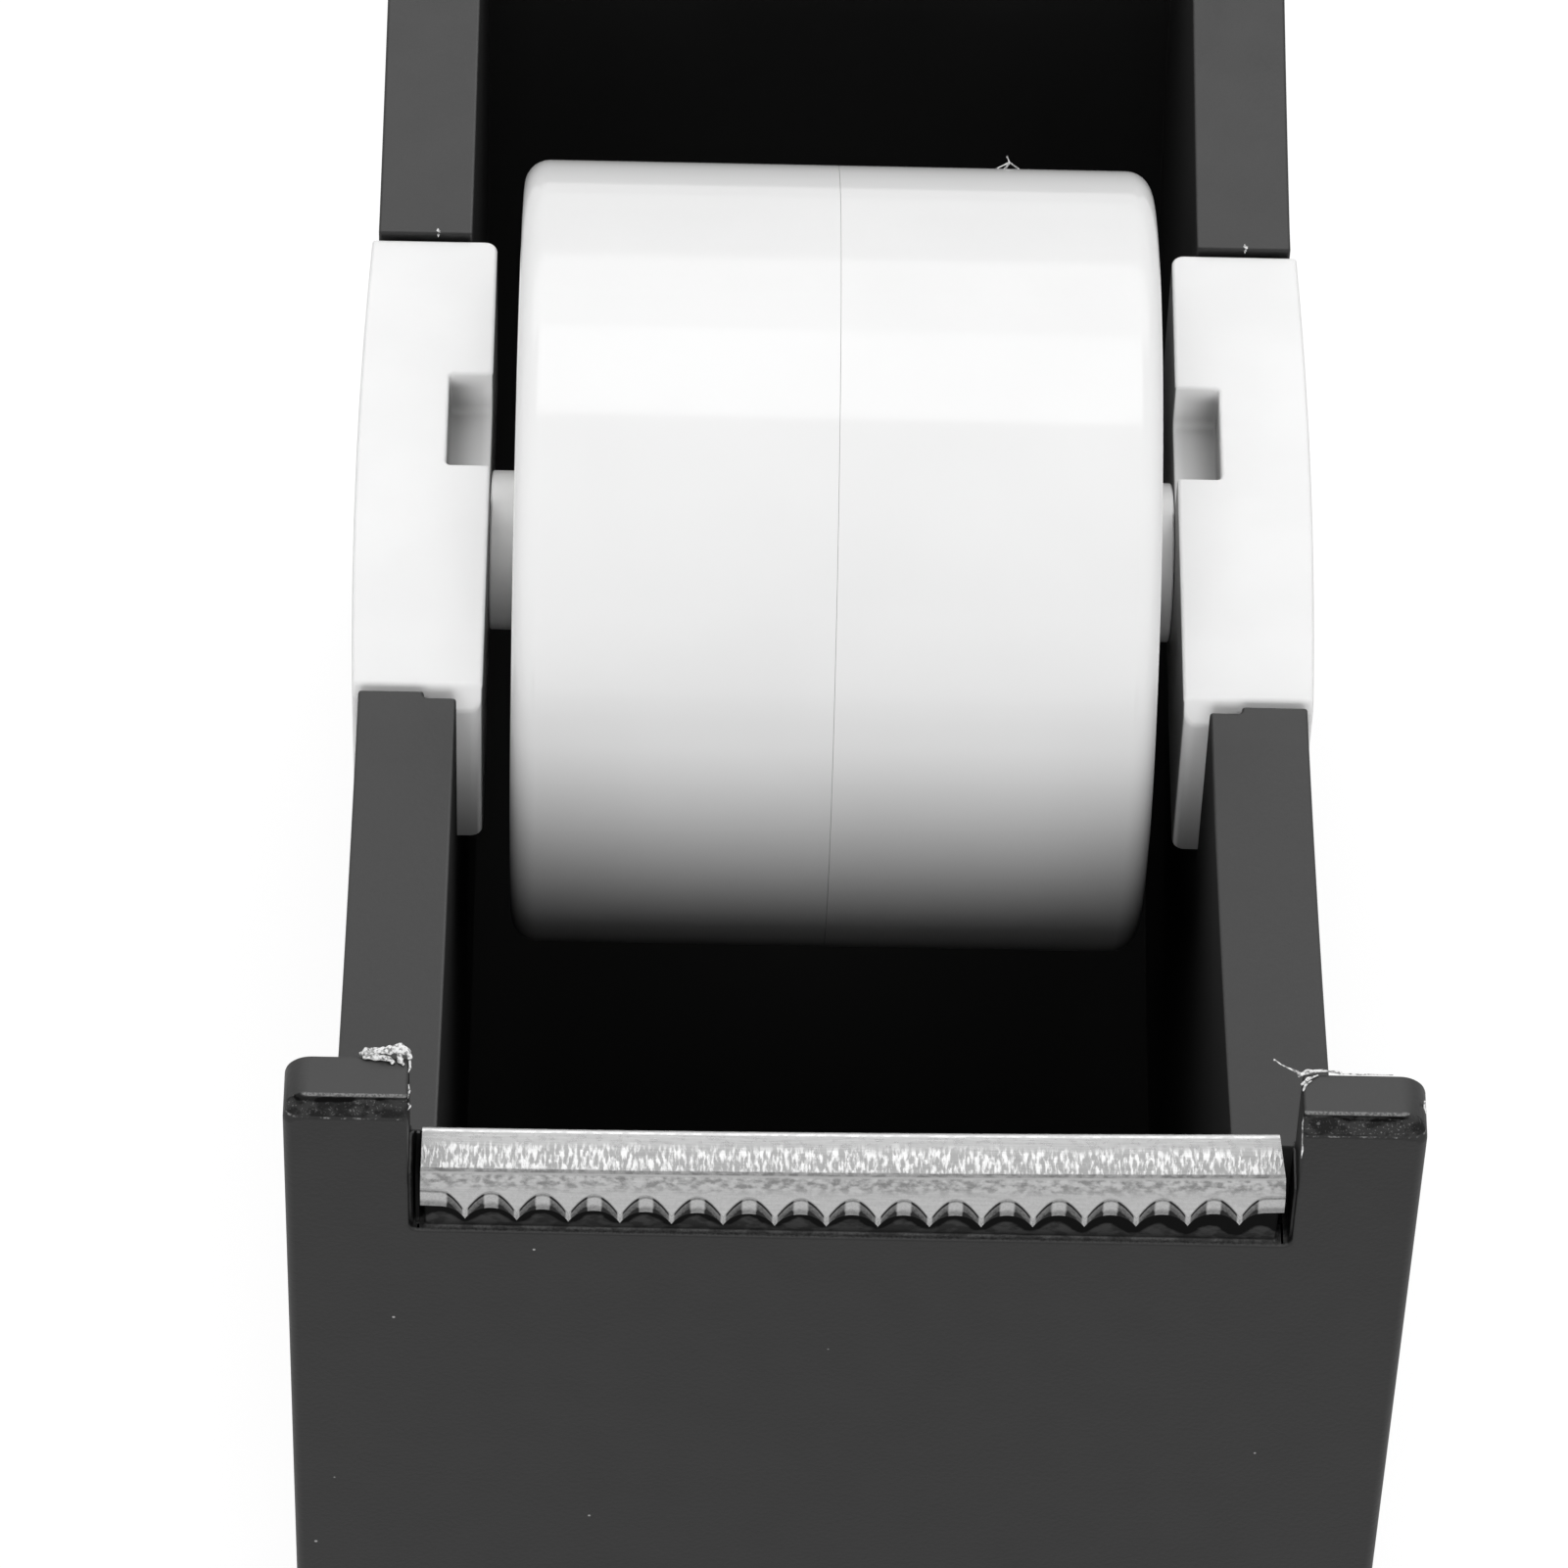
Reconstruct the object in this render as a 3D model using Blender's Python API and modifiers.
"""A small dispenser for narrow tape: a black moulded housing with a serrated blade, and a white drum.

Metres, +Z up. The blade faces -Y, the table is z = 0 and the drum turns about the X direction over the
origin. The axle lifts out of the housing together with the drum and the two holders.
"""

import math

import bmesh
import bpy
from mathutils import Matrix

MM = 0.001

# The drum and the axle that carries it
DRUM_RADIUS = 12.5 * MM
DRUM_WIDTH = 20.0 * MM
DRUM_EDGE_RADIUS = 0.8 * MM
DRUM_RIM = 1.5 * MM
DRUM_WEB = 1.5 * MM
DRUM_WEB_RECESS = 0.6 * MM
DRUM_RIM_CHAMFER = 0.3 * MM
DRUM_SEAM = 0.15 * MM
HUB_WALL = 1.0 * MM
HUB_RECESS = 0.1 * MM
HUB_STOP_LENGTH = 2.1 * MM
HUB_STOP_STEP = 0.8 * MM
SPIGOT_LENGTH = 1.6 * MM
SPIGOT_ROOT = 2.0 * MM
SPIGOT_WALL = 0.95 * MM
RIB_COUNT = 5
RIB_THICKNESS = 1.0 * MM
RIB_SETBACK = 1.2 * MM
BUSH_WALL = 0.88 * MM
AXLE_RADIUS = 2.55 * MM
JOURNAL_RADIUS = 1.8 * MM
JOURNAL_LENGTH = 3.0 * MM
JOURNAL_CHAMFER = 0.3 * MM
AXLE_HEIGHT = 34.2 * MM
DRUM_END_GAP = 0.9 * MM

# The well between the two side walls
WELL_RADIUS = 28.2 * MM
WELL_FLOOR = 1.8 * MM
WALL_THICKNESS = 3.05 * MM
WALL_DIP_ABOVE_AXLE = 3.9 * MM
WALL_DIP_RADIUS = 110.0 * MM
REAR_WALL = 3.3 * MM
REAR_CORNER_RADIUS = 3.0 * MM

# The front plate with its ears, which stands off centre from the walls
FRONT_WALL = 2.5 * MM
FACE_THICKNESS = 1.93 * MM
FACE_OFFSET = 0.55 * MM
FACE_CHAMFER = 0.5 * MM
EAR_WIDTH = 3.65 * MM
NOTCH_ABOVE_AXLE = 5.45 * MM
NOTCH_BEHIND_FACE = 0.15 * MM
EAR_ABOVE_NOTCH = 5.6 * MM
EAR_CORNER_RADIUS = 0.8 * MM
LIP_ABOVE_NOTCH = 0.45 * MM

# The blade, a steel strip bent over the front plate
BLADE_PAST_WELL = 1.0 * MM
BLADE_END_GAP = 0.35 * MM
BLADE_PLAIN_END = 0.3 * MM
BLADE_THICKNESS = 0.5 * MM
BLADE_BACK_FROM_FACE = 1.5 * MM
BLADE_BACK_ABOVE_WALL = 0.55 * MM
BLADE_REAR_LAND = 1.45 * MM
BLADE_FRONT_LAND = 1.3 * MM
BLADE_REAR_SLOPE = math.radians(26)
BLADE_FRONT_SLOPE = math.radians(38)
BLADE_FLANGE_IN_SLOT = 3.0 * MM
TOOTH_PITCH = 1.516 * MM
SCALLOP_RADIUS = 0.79 * MM
SCALLOP_AHEAD = 0.37 * MM
SCALLOP_LEAN = math.radians(44)

# The two saddle-shaped holders that the axle is pressed into
HOLDER_LENGTH = 18.8 * MM
HOLDER_ABOVE_AXLE = 4.2 * MM
HOLDER_BELOW_AXLE = 2.67 * MM
HOLDER_INSIDE_WALL = 0.8 * MM
HOLDER_PROUD = 0.2 * MM
HOLDER_BULGE = 0.2 * MM
HOLDER_CHAMFER = 0.6 * MM
HOLDER_EDGE_RADIUS = 0.4 * MM
HOLDER_KEY_DEPTH = 1.0 * MM
HOLDER_KEY_STEP = 0.25 * MM
POCKET_DEPTH = 1.8 * MM
POCKET_WIDTH = 1.4 * MM
POCKET_LENGTH = 3.8 * MM

# The base, which the face and the rear wall run down past
PLINTH_RAIL = 0.7 * MM
PLINTH_BEHIND_FACE = 0.6 * MM
PLINTH_HEIGHT = 6.0 * MM
PLINTH_CORNER_RADIUS = 3.0 * MM
PLINTH_EDGE_RADIUS = 0.6 * MM
PLINTH_WALL = 1.2 * MM
PLINTH_BELOW_WALLS = 0.3 * MM
CAVITY_WALL = 2.2 * MM
BASE_PLATE_THICKNESS = 2.0 * MM
BASE_CORNER_RADIUS = 1.4 * MM
BALLAST_INNER_END = 8.0 * MM
FOOT_RADIUS = 3.6 * MM
FOOT_HEIGHT = 1.7 * MM
FOOT_STANDS_PROUD = 0.8 * MM
FOOT_BEVEL = 0.3 * MM
FOOT_FROM_SIDE = 6.2 * MM
FOOT_FROM_END = 13.4 * MM
BOSS_RADIUS = 2.7 * MM
BOSS_FROM_WALL = 4.55 * MM
BOSS_FROM_END = 4.5 * MM
SCREW_RADIUS = 1.0 * MM
SCREW_LENGTH = 7.5 * MM
SCREW_POINT = 0.8 * MM
SCREW_HEAD_RADIUS = 2.0 * MM
SCREW_HEAD_HEIGHT = 1.0 * MM
SCREW_HEAD_EDGE = 0.25 * MM
SCREW_COUNTERBORE = 1.2 * MM
CROSS_WIDTH = 0.5 * MM
CROSS_LENGTH = 2.4 * MM
CROSS_DEPTH = 0.6 * MM

# Clearances, and how far a cutter passes through what it cuts
REST_GAP = 0.3 * MM
SLIDE_GAP = 0.2 * MM
FIT_GAP = 0.1 * MM
RUNNING_GAP = 0.07 * MM
SCREW_GAP = 0.15 * MM
OVERRUN = 1.0 * MM

# Facets
ROUND_STEPS = 48
SMALL_STEPS = 24
ARC_STEPS = 24
CORNER_STEPS = 4
MERGE = 0.001 * MM
FLAT = math.radians(0.05)

# What follows from the sizes above
WELL_WIDTH = DRUM_WIDTH + 2 * (DRUM_END_GAP + HOLDER_INSIDE_WALL)
BLADE_LENGTH = WELL_WIDTH + 2 * BLADE_PAST_WELL
TOOTH_COUNT = int((BLADE_LENGTH - 2 * BLADE_PLAIN_END) / TOOTH_PITCH)
NOTCH_WIDTH = BLADE_LENGTH + 2 * BLADE_END_GAP
FACE_WIDTH = NOTCH_WIDTH + 2 * EAR_WIDTH
WALLS_X = -FACE_OFFSET
WALLS_HALF = WELL_WIDTH / 2 + WALL_THICKNESS
FACE_Y = -(WELL_RADIUS + FRONT_WALL)
FACE_BACK_Y = FACE_Y + FACE_THICKNESS
REAR_Y = WELL_RADIUS + REAR_WALL
NOTCH_Z = AXLE_HEIGHT + NOTCH_ABOVE_AXLE
EAR_Z = NOTCH_Z + EAR_ABOVE_NOTCH
HOUSING_BOTTOM = FOOT_STANDS_PROUD
WALLS_BOTTOM = HOUSING_BOTTOM + PLINTH_BELOW_WALLS
PLINTH_TOP = HOUSING_BOTTOM + PLINTH_HEIGHT
PLINTH_HALF_X = WALLS_HALF + PLINTH_RAIL
PLINTH_HALF_Y = -FACE_Y - PLINTH_BEHIND_FACE
RECESS_TOP = HOUSING_BOTTOM + BASE_PLATE_THICKNESS + SLIDE_GAP
FLOOR_OUTER_RADIUS = WELL_RADIUS + WELL_FLOOR
CAVITY_HALF_X = WALLS_HALF - CAVITY_WALL
CAVITY_HALF_Y = WELL_RADIUS - SLIDE_GAP
HOLDER_INNER_X = WELL_WIDTH / 2 - HOLDER_INSIDE_WALL
HOLDER_OUTER_X = WALLS_HALF + HOLDER_PROUD
HOLDER_TOP = AXLE_HEIGHT + HOLDER_ABOVE_AXLE
HOLDER_BOTTOM = AXLE_HEIGHT - HOLDER_BELOW_AXLE
JOURNAL_END_X = HOLDER_INNER_X + JOURNAL_LENGTH
BUSH_INNER_RADIUS = AXLE_RADIUS + RUNNING_GAP
BUSH_OUTER_RADIUS = BUSH_INNER_RADIUS + BUSH_WALL
HUB_BORE_RADIUS = BUSH_OUTER_RADIUS + FIT_GAP
HUB_RADIUS = HUB_BORE_RADIUS + HUB_WALL
RIM_INNER_RADIUS = DRUM_RADIUS - DRUM_RIM

BLACK_PLASTIC = ("black_plastic", (0.045, 0.045, 0.047), 0.45, 0.0)
WHITE_PLASTIC = ("white_plastic", (0.85, 0.85, 0.86), 0.22, 0.0)
AXLE_PLASTIC = ("axle_plastic", (0.72, 0.72, 0.73), 0.3, 0.0)
BUSH_PLASTIC = ("bush_plastic", (0.78, 0.76, 0.70), 0.4, 0.0)
BLADE_STEEL = ("blade_steel", (0.62, 0.62, 0.63), 0.35, 1.0)
SCREW_STEEL = ("screw_steel", (0.55, 0.55, 0.56), 0.3, 1.0)
BALLAST_IRON = ("ballast_iron", (0.22, 0.21, 0.20), 0.7, 0.8)
FOOT_RUBBER = ("foot_rubber", (0.06, 0.06, 0.06), 0.85, 0.0)


def clear_scene():
    for obj in list(bpy.data.objects):
        bpy.data.objects.remove(obj, do_unlink=True)


def collection(name):
    made = bpy.data.collections.new(name)
    bpy.context.scene.collection.children.link(made)
    return made


def material(look):
    name, colour, roughness, metallic = look
    if name in bpy.data.materials:
        return bpy.data.materials[name]
    made = bpy.data.materials.new(name)
    made.use_nodes = True
    shader = made.node_tree.nodes["Principled BSDF"]
    shader.inputs["Base Color"].default_value = (*colour, 1)
    shader.inputs["Roughness"].default_value = roughness
    shader.inputs["Metallic"].default_value = metallic
    return made


def add(name, mesh):
    made = bpy.data.objects.new(name, mesh)
    tools.objects.link(made)
    made.hide_render = True
    made.display_type = "WIRE"
    return made


def finish(obj, look, parent=None, smooth=False):
    """Turns a working solid into a named piece of the object."""
    tools.objects.unlink(obj)
    pieces.objects.link(obj)
    obj.hide_render = False
    obj.display_type = "TEXTURED"
    obj.data.materials.clear()
    obj.data.materials.append(material(look))
    if smooth:
        obj.data.shade_smooth()
        obj.data.set_sharp_from_angle(angle=math.radians(30))
    if parent:
        obj.parent = parent
        obj.matrix_parent_inverse = parent.matrix_world.inverted()
    return obj


def empty(name, location, parent=None):
    made = bpy.data.objects.new(name, None)
    pieces.objects.link(made)
    made.location = location
    if parent:
        made.parent = parent
        made.matrix_parent_inverse = parent.matrix_world.inverted()
    bpy.context.view_layer.update()
    return made


def move_origin(obj, place):
    """Puts an object's origin at a point in space and leaves its shape where it is."""
    bpy.context.view_layer.update()
    shift = obj.matrix_world.inverted() @ Matrix.Translation(place)
    obj.data.transform(Matrix.Translation(-shift.translation))
    obj.matrix_world = obj.matrix_world @ Matrix.Translation(shift.translation)


def box(name, low, high):
    mesh = bpy.data.meshes.new(name)
    shape = bmesh.new()
    bmesh.ops.create_cube(shape, size=1)
    size = [b - a for a, b in zip(low, high)]
    bmesh.ops.scale(shape, vec=size, verts=shape.verts)
    bmesh.ops.translate(shape, vec=[(a + b) / 2 for a, b in zip(low, high)], verts=shape.verts)
    shape.to_mesh(mesh)
    shape.free()
    return add(name, mesh)


def cylinder(name, radius, start, end, steps, axis="Z"):
    """A cylinder from one point to another along the world's X or Z."""
    mesh = bpy.data.meshes.new(name)
    shape = bmesh.new()
    length = math.dist(start, end)
    bmesh.ops.create_cone(shape, cap_ends=True, segments=steps, radius1=radius, radius2=radius, depth=length)
    turn = Matrix.Rotation(math.pi / 2, 4, "Y") if axis == "X" else Matrix()
    middle = [(a + b) / 2 for a, b in zip(start, end)]
    bmesh.ops.transform(shape, matrix=Matrix.Translation(middle) @ turn, verts=shape.verts)
    shape.to_mesh(mesh)
    shape.free()
    return add(name, mesh)


def outline(name, points, low, high, plane):
    """A flat outline in the YZ, XZ or XY plane, made solid from low to high along the third axis."""
    curve = bpy.data.curves.new(name, "CURVE")
    curve.dimensions = "2D"
    curve.fill_mode = "BOTH"
    curve.extrude = (high - low) / 2
    spline = curve.splines.new("POLY")
    spline.points.add(len(points) - 1)
    for place, (a, b) in zip(spline.points, points):
        place.co = (a, b, 0, 1)
    spline.use_cyclic_u = True
    guide = bpy.data.objects.new(name + "_outline", curve)
    tools.objects.link(guide)
    middle = (low + high) / 2
    guide.matrix_world = {
        "YZ": Matrix(((0, 0, 1, middle), (1, 0, 0, 0), (0, 1, 0, 0), (0, 0, 0, 1))),
        "XZ": Matrix(((1, 0, 0, 0), (0, 0, -1, middle), (0, 1, 0, 0), (0, 0, 0, 1))),
        "XY": Matrix.Translation((0, 0, middle)),
    }[plane]
    bpy.context.view_layer.update()
    mesh = bpy.data.meshes.new_from_object(guide.evaluated_get(bpy.context.evaluated_depsgraph_get()))
    shape = bmesh.new()
    shape.from_mesh(mesh)
    bmesh.ops.remove_doubles(shape, verts=shape.verts, dist=MERGE)
    bmesh.ops.recalc_face_normals(shape, faces=shape.faces)
    bmesh.ops.dissolve_limit(shape, angle_limit=FLAT, verts=shape.verts, edges=shape.edges)
    shape.to_mesh(mesh)
    shape.free()
    made = add(name, mesh)
    made.matrix_world = guide.matrix_world.copy()
    bpy.data.objects.remove(guide, do_unlink=True)
    return made


def turned(name, profile, place, direction, steps, closed):
    """A solid turned about the X direction from (radius, distance) points that run down the outer side."""
    mesh = bpy.data.meshes.new(name)
    edges = [(i, i + 1) for i in range(len(profile) - 1)]
    if closed:
        edges.append((len(profile) - 1, 0))
    mesh.from_pydata([(radius, 0, along) for radius, along in profile], edges, [])
    made = add(name, mesh)
    made.location = place
    made.rotation_euler = (0, direction * math.pi / 2, 0)
    screw = made.modifiers.new("turn", "SCREW")
    screw.steps = screw.render_steps = steps
    screw.use_merge_vertices = True
    screw.merge_threshold = MERGE
    return made


def combine(obj, other, operation):
    step = obj.modifiers.new(other.name, "BOOLEAN")
    step.operation = operation
    step.solver = "EXACT"
    step.object = other
    return obj


def cut(obj, *others):
    for other in others:
        combine(obj, other, "DIFFERENCE")


def join(obj, *others):
    for other in others:
        combine(obj, other, "UNION")


def arc(centre, radius, start, end, steps):
    """Points on a circle from one angle to another, both ends included."""
    angles = [math.radians(start + (end - start) * i / steps) for i in range(steps + 1)]
    return [(centre[0] + radius * math.cos(a), centre[1] + radius * math.sin(a)) for a in angles]


def base_outline(half_x, half_y, radius):
    """A rounded rectangle below the walls and the axle."""
    corners = ((1, 1, 0), (-1, 1, 90), (-1, -1, 180), (1, -1, 270))
    points = []
    for side_x, side_y, angle in corners:
        centre = (WALLS_X + side_x * (half_x - radius), side_y * (half_y - radius))
        points += arc(centre, radius, angle, angle + 90, CORNER_STEPS)
    return points


def wall_top(y):
    """Height of the side walls' top, a shallow dip that is lowest over the axle."""
    rise = WALL_DIP_RADIUS - math.sqrt(WALL_DIP_RADIUS**2 - y * y)
    return AXLE_HEIGHT + WALL_DIP_ABOVE_AXLE + rise


def body_block():
    """The walls' side outline, solid across the walls' width."""
    front_y = FACE_BACK_Y - FACE_THICKNESS / 2
    last_y = REAR_Y - REAR_CORNER_RADIUS
    points = [(REAR_Y, WALLS_BOTTOM)]
    points += arc((last_y, wall_top(last_y) - REAR_CORNER_RADIUS), REAR_CORNER_RADIUS, 0, 90, CORNER_STEPS)
    for i in range(1, ARC_STEPS + 1):
        y = last_y + (front_y - last_y) * i / ARC_STEPS
        points.append((y, wall_top(y)))
    points.append((front_y, WALLS_BOTTOM))
    return outline("housing", points, WALLS_X - WALLS_HALF, WALLS_X + WALLS_HALF, "YZ")


def front_plate():
    """The face with both ears, before the notch is cut. Its front edges are chamfered."""
    half = FACE_WIDTH / 2
    corner_z = EAR_Z - EAR_CORNER_RADIUS
    corner_x = half - EAR_CORNER_RADIUS
    points = [(half, WALLS_BOTTOM)]
    points += arc((corner_x, corner_z), EAR_CORNER_RADIUS, 0, 90, CORNER_STEPS)
    points += arc((-corner_x, corner_z), EAR_CORNER_RADIUS, 90, 180, CORNER_STEPS)
    points.append((-half, WALLS_BOTTOM))
    plate = outline("front_plate", points, FACE_Y + FACE_CHAMFER, FACE_BACK_Y, "XZ")
    shape = bmesh.new()
    shape.from_mesh(plate.data)
    # The outline's own z runs forward, and its middle is half way through the plate.
    front = [f for f in shape.faces if all(v.co.z > 0 for v in f.verts)]
    bmesh.ops.inset_region(
        shape,
        faces=front,
        thickness=FACE_CHAMFER,
        depth=FACE_CHAMFER,
        use_boundary=True,
        use_even_offset=True,
    )
    shape.to_mesh(plate.data)
    shape.free()
    return plate


def plinth():
    """The base's outside: a rail along each wall. Its ends lie in the face and in the rear wall."""
    corners = base_outline(PLINTH_HALF_X, PLINTH_HALF_Y, PLINTH_CORNER_RADIUS)
    block = outline("plinth", corners, HOUSING_BOTTOM, PLINTH_TOP, "XY")
    edge = block.modifiers.new("edges", "BEVEL")
    edge.width = PLINTH_EDGE_RADIUS
    edge.segments = 3
    edge.limit_method = "ANGLE"
    edge.angle_limit = math.radians(60)
    return block


def well():
    """The space for the roll: a round floor about the axle, open at the top and forward over the lip."""
    top = EAR_Z + OVERRUN
    lip_z = NOTCH_Z + LIP_ABOVE_NOTCH
    forward_y = FACE_BACK_Y - FACE_THICKNESS / 3
    points = [(forward_y, top), (forward_y, lip_z), (-WELL_RADIUS, lip_z)]
    points += arc((0, AXLE_HEIGHT), WELL_RADIUS, 180, 360, ARC_STEPS * 2)
    points.append((WELL_RADIUS, top))
    return outline("well", points, WALLS_X - WELL_WIDTH / 2, WALLS_X + WELL_WIDTH / 2, "YZ")


def holder_seat(side):
    """The gap in one wall for a holder. Its outer part is shorter, which keeps the holder from leaving."""
    inner = WELL_WIDTH / 2 - OVERRUN
    step = WELL_WIDTH / 2 + HOLDER_KEY_DEPTH
    outer = WALLS_HALF + OVERRUN
    short = HOLDER_LENGTH / 2 + SLIDE_GAP
    long = short + HOLDER_KEY_STEP
    half = [(inner, long), (step, long), (step, short), (outer, short)]
    points = half + [(x, -y) for x, y in reversed(half)]
    placed = [(WALLS_X + side * x, y) for x, y in points]
    return outline("holder_seat", placed, HOLDER_BOTTOM - REST_GAP, EAR_Z, "XY")


def boss_places():
    x, y = WALLS_HALF - BOSS_FROM_WALL, PLINTH_HALF_Y - BOSS_FROM_END
    return [(WALLS_X + i * x, j * y) for i in (-1, 1) for j in (-1, 1)]


def cavity(name, gap, low_z, low_y, high_y):
    """The hollow under the well's round floor, less the screw bosses, drawn in by a gap all round."""
    half = CAVITY_HALF_X - gap
    low = (WALLS_X - half, low_y + gap, low_z)
    high = (WALLS_X + half, high_y - gap, AXLE_HEIGHT)
    space = box(name, low, high)
    ends = ((WALLS_X - PLINTH_HALF_X, 0, AXLE_HEIGHT), (WALLS_X + PLINTH_HALF_X, 0, AXLE_HEIGHT))
    cut(space, cylinder(name + "_floor", FLOOR_OUTER_RADIUS + gap, *ends, ROUND_STEPS * 2, "X"))
    for x, y in boss_places():
        if low_y < y < high_y:
            ends = ((x, y, -OVERRUN), (x, y, AXLE_HEIGHT + OVERRUN))
            cut(space, cylinder(name + "_boss", BOSS_RADIUS + gap, *ends, SMALL_STEPS))
    return space


BLADE_BACK_Y = FACE_Y + BLADE_BACK_FROM_FACE
BLADE_BACK_Z = wall_top(FACE_BACK_Y) + BLADE_BACK_ABOVE_WALL
BLADE_BEND = (
    BLADE_BACK_Y - BLADE_REAR_LAND * math.cos(BLADE_REAR_SLOPE),
    BLADE_BACK_Z - BLADE_REAR_LAND * math.sin(BLADE_REAR_SLOPE),
)
BLADE_TIP = (
    BLADE_BEND[0] - BLADE_FRONT_LAND * math.cos(BLADE_FRONT_SLOPE),
    BLADE_BEND[1] - BLADE_FRONT_LAND * math.sin(BLADE_FRONT_SLOPE),
)


def under_blade(depth):
    """The line a given depth below the blade's lands, from its flange to its tip, as (y, z) points."""
    middle = (BLADE_REAR_SLOPE + BLADE_FRONT_SLOPE) / 2
    front = BLADE_FRONT_SLOPE
    bend = (BLADE_BEND[0] + depth * math.sin(middle), BLADE_BEND[1] - depth * math.cos(middle))
    tip = (BLADE_TIP[0] + depth * math.sin(front), BLADE_TIP[1] - depth * math.cos(front))
    inner_y = BLADE_BACK_Y - depth
    return [(inner_y, bend[1] + (inner_y - bend[0]) * math.tan(BLADE_REAR_SLOPE)), bend, tip]


def blade_bed():
    """The wedge that carries the blade's rear land. The slot for the flange trims its back."""
    inner, bend = under_blade(BLADE_THICKNESS + FIT_GAP)[:2]
    low_z = NOTCH_Z - EAR_ABOVE_NOTCH / 4
    points = [(BLADE_BACK_Y, low_z), (BLADE_BACK_Y, inner[1]), inner, bend, (bend[0], low_z)]
    half = BLADE_LENGTH / 2 - FIT_GAP
    return outline("blade_bed", points, -half, half, "YZ")


def blade_slot():
    half = BLADE_LENGTH / 2 + FIT_GAP
    low_z = NOTCH_Z - BLADE_FLANGE_IN_SLOT - REST_GAP
    low = (-half, BLADE_BACK_Y - BLADE_THICKNESS - FIT_GAP, low_z)
    return box("blade_slot", low, (half, BLADE_BACK_Y + FIT_GAP, EAR_Z))


def make_housing():
    """One moulding: walls, round well floor, face with ears, plinth, and a hollow for the ballast."""
    housing = body_block()
    join(housing, front_plate(), plinth())
    low = (-NOTCH_WIDTH / 2, FACE_Y - OVERRUN, NOTCH_Z)
    high = (NOTCH_WIDTH / 2, FACE_BACK_Y + NOTCH_BEHIND_FACE, EAR_Z + OVERRUN)
    cut(housing, box("notch", low, high))
    join(housing, blade_bed())
    cut(housing, well(), blade_slot(), holder_seat(-1), holder_seat(1))
    cut(housing, cavity("cavity", 0, HOUSING_BOTTOM - OVERRUN, -CAVITY_HALF_Y, CAVITY_HALF_Y))
    recess = base_outline(PLINTH_HALF_X - PLINTH_WALL, PLINTH_HALF_Y - PLINTH_WALL, BASE_CORNER_RADIUS)
    cut(housing, outline("base_recess", recess, HOUSING_BOTTOM - 2 * OVERRUN, RECESS_TOP, "XY"))
    hole_top = HOUSING_BOTTOM + SCREW_COUNTERBORE + SCREW_LENGTH + OVERRUN
    for x, y in boss_places():
        ends = ((x, y, HOUSING_BOTTOM - OVERRUN), (x, y, hole_top))
        cut(housing, cylinder("boss_hole", SCREW_RADIUS + SCREW_GAP, *ends, SMALL_STEPS))
    return finish(housing, BLACK_PLASTIC)


def foot_places():
    x, y = PLINTH_HALF_X - FOOT_FROM_SIDE, PLINTH_HALF_Y - FOOT_FROM_END
    return [(WALLS_X + i * x, j * y) for i in (-1, 1) for j in (-1, 1)]


def make_base_plate():
    half_x = PLINTH_HALF_X - PLINTH_WALL - SLIDE_GAP
    half_y = PLINTH_HALF_Y - PLINTH_WALL - SLIDE_GAP
    top = HOUSING_BOTTOM + BASE_PLATE_THICKNESS
    corners = base_outline(half_x, half_y, BASE_CORNER_RADIUS - SLIDE_GAP)
    plate = outline("base_plate", corners, HOUSING_BOTTOM, top, "XY")
    under = HOUSING_BOTTOM - OVERRUN
    for x, y in boss_places():
        hole = ((x, y, under), (x, y, top + OVERRUN))
        sunk = ((x, y, under), (x, y, HOUSING_BOTTOM + SCREW_COUNTERBORE))
        cut(plate, cylinder("plate_hole", SCREW_RADIUS + SCREW_GAP, *hole, SMALL_STEPS))
        cut(plate, cylinder("plate_counterbore", SCREW_HEAD_RADIUS + REST_GAP, *sunk, SMALL_STEPS))
    for x, y in foot_places():
        sunk = ((x, y, under), (x, y, FOOT_HEIGHT + FIT_GAP))
        cut(plate, cylinder("foot_recess", FOOT_RADIUS + SLIDE_GAP, *sunk, SMALL_STEPS))
    return finish(plate, BLACK_PLASTIC)


def make_ballast(side, name):
    """A casting that fills one end of the hollow under the well."""
    near, far = BALLAST_INNER_END - REST_GAP, CAVITY_HALF_Y
    low_y, high_y = (near, far) if side > 0 else (-far, -near)
    low_z = HOUSING_BOTTOM + BASE_PLATE_THICKNESS + REST_GAP
    return finish(cavity(name, REST_GAP, low_z, low_y, high_y), BALLAST_IRON)


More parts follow.
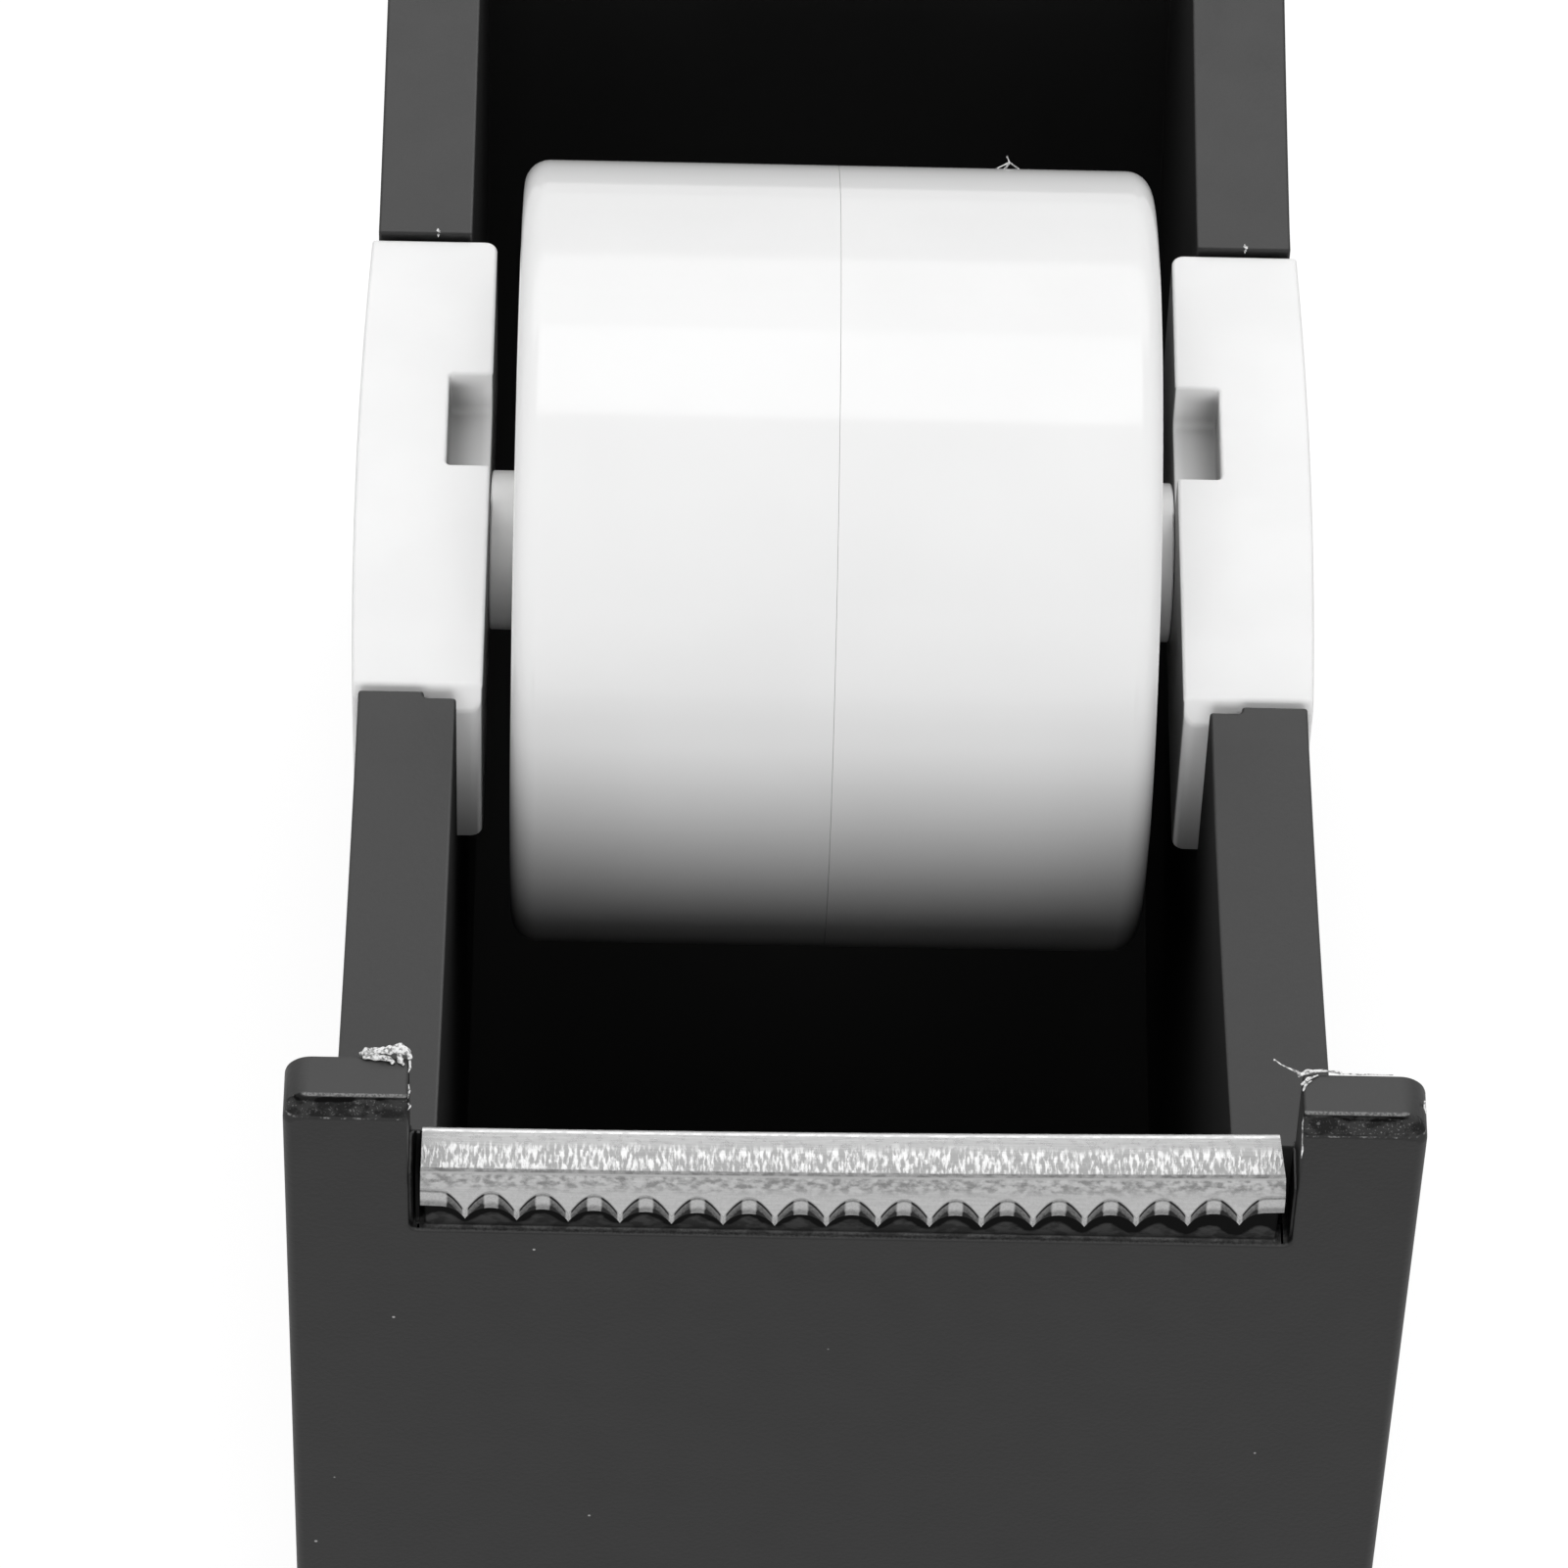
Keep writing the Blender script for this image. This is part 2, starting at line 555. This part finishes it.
def make_screw(number, x, y):
    """A self-cutting screw from below, with a flat cross-recessed head."""
    head_low = HOUSING_BOTTOM + SCREW_COUNTERBORE - SCREW_HEAD_HEIGHT - FIT_GAP
    head_top = head_low + SCREW_HEAD_HEIGHT
    end = head_top + SCREW_LENGTH
    profile = [
        (0, end),
        (SCREW_RADIUS / 3, end),
        (SCREW_RADIUS, end - SCREW_POINT),
        (SCREW_RADIUS, head_top),
        (SCREW_HEAD_RADIUS, head_top),
        (SCREW_HEAD_RADIUS, head_low + SCREW_HEAD_EDGE),
        (SCREW_HEAD_RADIUS - SCREW_HEAD_EDGE, head_low),
        (0, head_low),
    ]
    screw = turned(f"base_screw_{number}", profile, (x, y, 0), 0, SMALL_STEPS, False)
    half, width = CROSS_LENGTH / 2, CROSS_WIDTH / 2
    low_z, high_z = head_low - OVERRUN, head_low + CROSS_DEPTH
    cut(screw, box("cross_x", (x - half, y - width, low_z), (x + half, y + width, high_z)))
    cut(screw, box("cross_y", (x - width, y - half, low_z), (x + width, y + half, high_z)))
    return finish(screw, SCREW_STEEL, smooth=True)


def make_foot(number, x, y):
    profile = [
        (0, FOOT_HEIGHT),
        (FOOT_RADIUS, FOOT_HEIGHT),
        (FOOT_RADIUS, FOOT_BEVEL),
        (FOOT_RADIUS - FOOT_BEVEL, 0),
        (0, 0),
    ]
    foot = turned(f"rubber_foot_{number}", profile, (x, y, 0), 0, SMALL_STEPS, False)
    return finish(foot, FOOT_RUBBER, smooth=True)


def make_blade():
    """A bent steel strip whose front edge is ground into teeth by round scallops that lean back."""
    low_z = NOTCH_Z - BLADE_FLANGE_IN_SLOT
    inner, under_bend, under_tip = under_blade(BLADE_THICKNESS)
    points = [(BLADE_BACK_Y, low_z), (BLADE_BACK_Y, BLADE_BACK_Z), BLADE_BEND, BLADE_TIP]
    points += [under_tip, under_bend, inner, (inner[0], low_z)]
    blade = outline("cutter_blade", points, -BLADE_LENGTH / 2, BLADE_LENGTH / 2, "YZ")
    mesh = bpy.data.meshes.new("scallops")
    shape = bmesh.new()
    for i in range(TOOTH_COUNT + 1):
        x = (i - TOOTH_COUNT / 2) * TOOTH_PITCH
        y = BLADE_TIP[0] - SCALLOP_AHEAD * math.cos(BLADE_FRONT_SLOPE)
        z = BLADE_TIP[1] - SCALLOP_AHEAD * math.sin(BLADE_FRONT_SLOPE)
        turn = Matrix.Rotation(BLADE_FRONT_SLOPE - SCALLOP_LEAN, 4, "X")
        bmesh.ops.create_cone(
            shape,
            cap_ends=True,
            segments=SMALL_STEPS,
            radius1=SCALLOP_RADIUS,
            radius2=SCALLOP_RADIUS,
            depth=2 * OVERRUN,
            matrix=Matrix.Translation((x, y, z)) @ turn,
        )
    shape.to_mesh(mesh)
    shape.free()
    cut(blade, add("scallops", mesh))
    return finish(blade, BLADE_STEEL)


def make_holder(side, name, spindle):
    """A saddle block that fills the gap in one wall, with a bore for the axle and a pocket in its top."""
    inner, outer = HOLDER_INNER_X, HOLDER_OUTER_X
    step = WELL_WIDTH / 2 + HOLDER_KEY_DEPTH - SLIDE_GAP
    short, long = HOLDER_LENGTH / 2, HOLDER_LENGTH / 2 + HOLDER_KEY_STEP
    centre = (inner + HOLDER_EDGE_RADIUS, long - HOLDER_EDGE_RADIUS)
    corner = arc(centre, HOLDER_EDGE_RADIUS, 180, 90, CORNER_STEPS)
    half = corner + [(step, long), (step, short)]
    bulge = []
    for i in range(CORNER_STEPS * 2 + 1):
        y = short - 2 * short * i / (CORNER_STEPS * 2)
        bulge.append((outer + HOLDER_BULGE * (1 - (y / short) ** 2), y))
    points = half + bulge + [(x, -y) for x, y in reversed(half)]
    placed = [(WALLS_X + side * x, y) for x, y in points]
    holder = outline(name, placed, HOLDER_BOTTOM, HOLDER_TOP + OVERRUN, "XY")
    low_z = HOLDER_BOTTOM - OVERRUN
    eased = HOLDER_TOP - HOLDER_CHAMFER
    past = long + SLIDE_GAP
    side_view = [(past, low_z), (past, eased - SLIDE_GAP), (long - HOLDER_CHAMFER, HOLDER_TOP)]
    side_view += [(-y, z) for y, z in reversed(side_view)]
    ends = sorted((WALLS_X, WALLS_X + side * (outer + OVERRUN)))
    combine(holder, outline(name + "_side", side_view, *ends, "YZ"), "INTERSECT")
    xs = sorted((WALLS_X + side * (inner - OVERRUN), WALLS_X + side * (inner + POCKET_WIDTH)))
    low, high = (xs[0], 0, HOLDER_TOP - POCKET_DEPTH), (xs[1], POCKET_LENGTH, HOLDER_TOP + OVERRUN)
    cut(holder, box(name + "_pocket", low, high))
    start = (WALLS_X + side * (inner - OVERRUN), 0, AXLE_HEIGHT)
    end = (WALLS_X + side * (JOURNAL_END_X + FIT_GAP), 0, AXLE_HEIGHT)
    cut(holder, cylinder(name + "_bore", JOURNAL_RADIUS + FIT_GAP, start, end, ROUND_STEPS, "X"))
    return finish(holder, WHITE_PLASTIC, spindle)


def make_axle(spindle):
    """A turned pin with a thinner journal at each end."""
    shoulder = HOLDER_INNER_X - FIT_GAP
    half = [
        (0, JOURNAL_END_X),
        (JOURNAL_RADIUS - JOURNAL_CHAMFER, JOURNAL_END_X),
        (JOURNAL_RADIUS, JOURNAL_END_X - JOURNAL_CHAMFER),
        (JOURNAL_RADIUS, shoulder),
        (AXLE_RADIUS, shoulder),
    ]
    profile = half + [(radius, -along) for radius, along in reversed(half)]
    axle = turned("axle", profile, (WALLS_X, 0, AXLE_HEIGHT), 1, ROUND_STEPS, False)
    return finish(axle, AXLE_PLASTIC, spindle, smooth=True)


def make_drum_half(side, name, hub):
    """One cup of the drum: rim, web, hub and ribs. The left cup's spigot centres the right one."""
    end = DRUM_WIDTH / 2
    seam = DRUM_SEAM / 2
    web_out = end - DRUM_WEB_RECESS
    web_in = web_out - DRUM_WEB
    hub_end = end - HUB_RECESS
    stop_radius = HUB_BORE_RADIUS - HUB_STOP_STEP
    profile = [
        (HUB_BORE_RADIUS, hub_end),
        (HUB_RADIUS, hub_end),
        (HUB_RADIUS, web_out),
        (RIM_INNER_RADIUS - DRUM_RIM_CHAMFER, web_out),
        (RIM_INNER_RADIUS, end),
    ]
    rounded = (DRUM_RADIUS - DRUM_EDGE_RADIUS, end - DRUM_EDGE_RADIUS)
    profile += arc(rounded, DRUM_EDGE_RADIUS, 90, 0, CORNER_STEPS)
    profile.append((DRUM_RADIUS, seam))
    if side < 0:
        outer = RIM_INNER_RADIUS - FIT_GAP
        inner = outer - SPIGOT_WALL
        profile += [(outer, seam), (outer, -SPIGOT_LENGTH), (inner, -SPIGOT_LENGTH), (inner, SPIGOT_ROOT)]
        profile.append((RIM_INNER_RADIUS, SPIGOT_ROOT + SPIGOT_WALL))
    else:
        profile.append((RIM_INNER_RADIUS, seam))
    profile += [
        (RIM_INNER_RADIUS, web_in),
        (HUB_RADIUS, web_in),
        (HUB_RADIUS, REST_GAP),
        (stop_radius, REST_GAP),
        (stop_radius, HUB_STOP_LENGTH + REST_GAP),
        (HUB_BORE_RADIUS, HUB_STOP_LENGTH + REST_GAP),
    ]
    cup = turned(name, profile, (WALLS_X, 0, AXLE_HEIGHT), side, ROUND_STEPS, True)
    join(cup, drum_ribs(name, side, web_in))
    return finish(cup, WHITE_PLASTIC, hub, smooth=True)


def drum_ribs(name, side, web_in):
    """Radial ribs between hub and rim, rooted in the hub, the web and the rim."""
    low = SPIGOT_ROOT + SPIGOT_WALL + RIB_SETBACK
    high = web_in + DRUM_WEB / 2
    start = HUB_RADIUS - HUB_WALL / 2
    end = RIM_INNER_RADIUS + DRUM_RIM / 2
    mesh = bpy.data.meshes.new(name + "_ribs")
    shape = bmesh.new()
    size = Matrix.Diagonal((high - low, RIB_THICKNESS, end - start, 1))
    place = Matrix.Translation((side * (low + high) / 2, 0, (start + end) / 2))
    for i in range(RIB_COUNT):
        turn = Matrix.Rotation(i * math.tau / RIB_COUNT, 4, "X")
        bmesh.ops.create_cube(shape, size=1, matrix=turn @ place @ size)
    bmesh.ops.translate(shape, vec=(WALLS_X, 0, AXLE_HEIGHT), verts=shape.verts)
    shape.to_mesh(mesh)
    shape.free()
    return add(name + "_ribs", mesh)


def make_bush(side, name, hub):
    """The plain bearing pressed into one hub."""
    low = HUB_STOP_LENGTH + REST_GAP + FIT_GAP
    high = DRUM_WIDTH / 2 - HUB_RECESS
    profile = [
        (BUSH_INNER_RADIUS, high),
        (BUSH_OUTER_RADIUS, high),
        (BUSH_OUTER_RADIUS, low),
        (BUSH_INNER_RADIUS, low),
    ]
    bush = turned(name, profile, (WALLS_X, 0, AXLE_HEIGHT), side, ROUND_STEPS, True)
    return finish(bush, BUSH_PLASTIC, hub, smooth=True)


clear_scene()
pieces = collection("tape_dispenser")
tools = collection("cutters")

make_housing()
make_base_plate()
make_ballast(-1, "ballast_front")
make_ballast(1, "ballast_rear")
for count, spot in enumerate(boss_places(), 1):
    make_screw(count, *spot)
for count, spot in enumerate(foot_places(), 1):
    make_foot(count, *spot)
make_blade()

axle_centre = (WALLS_X, 0, AXLE_HEIGHT)
spindle_frame = empty("spindle_frame", axle_centre)
drum_frame = empty("drum_frame", axle_centre, spindle_frame)
for side_sign, side_name in ((-1, "left"), (1, "right")):
    move_origin(make_holder(side_sign, f"holder_{side_name}", spindle_frame), axle_centre)
    make_drum_half(side_sign, f"drum_{side_name}", drum_frame)
    make_bush(side_sign, f"bush_{side_name}", drum_frame)
make_axle(spindle_frame)
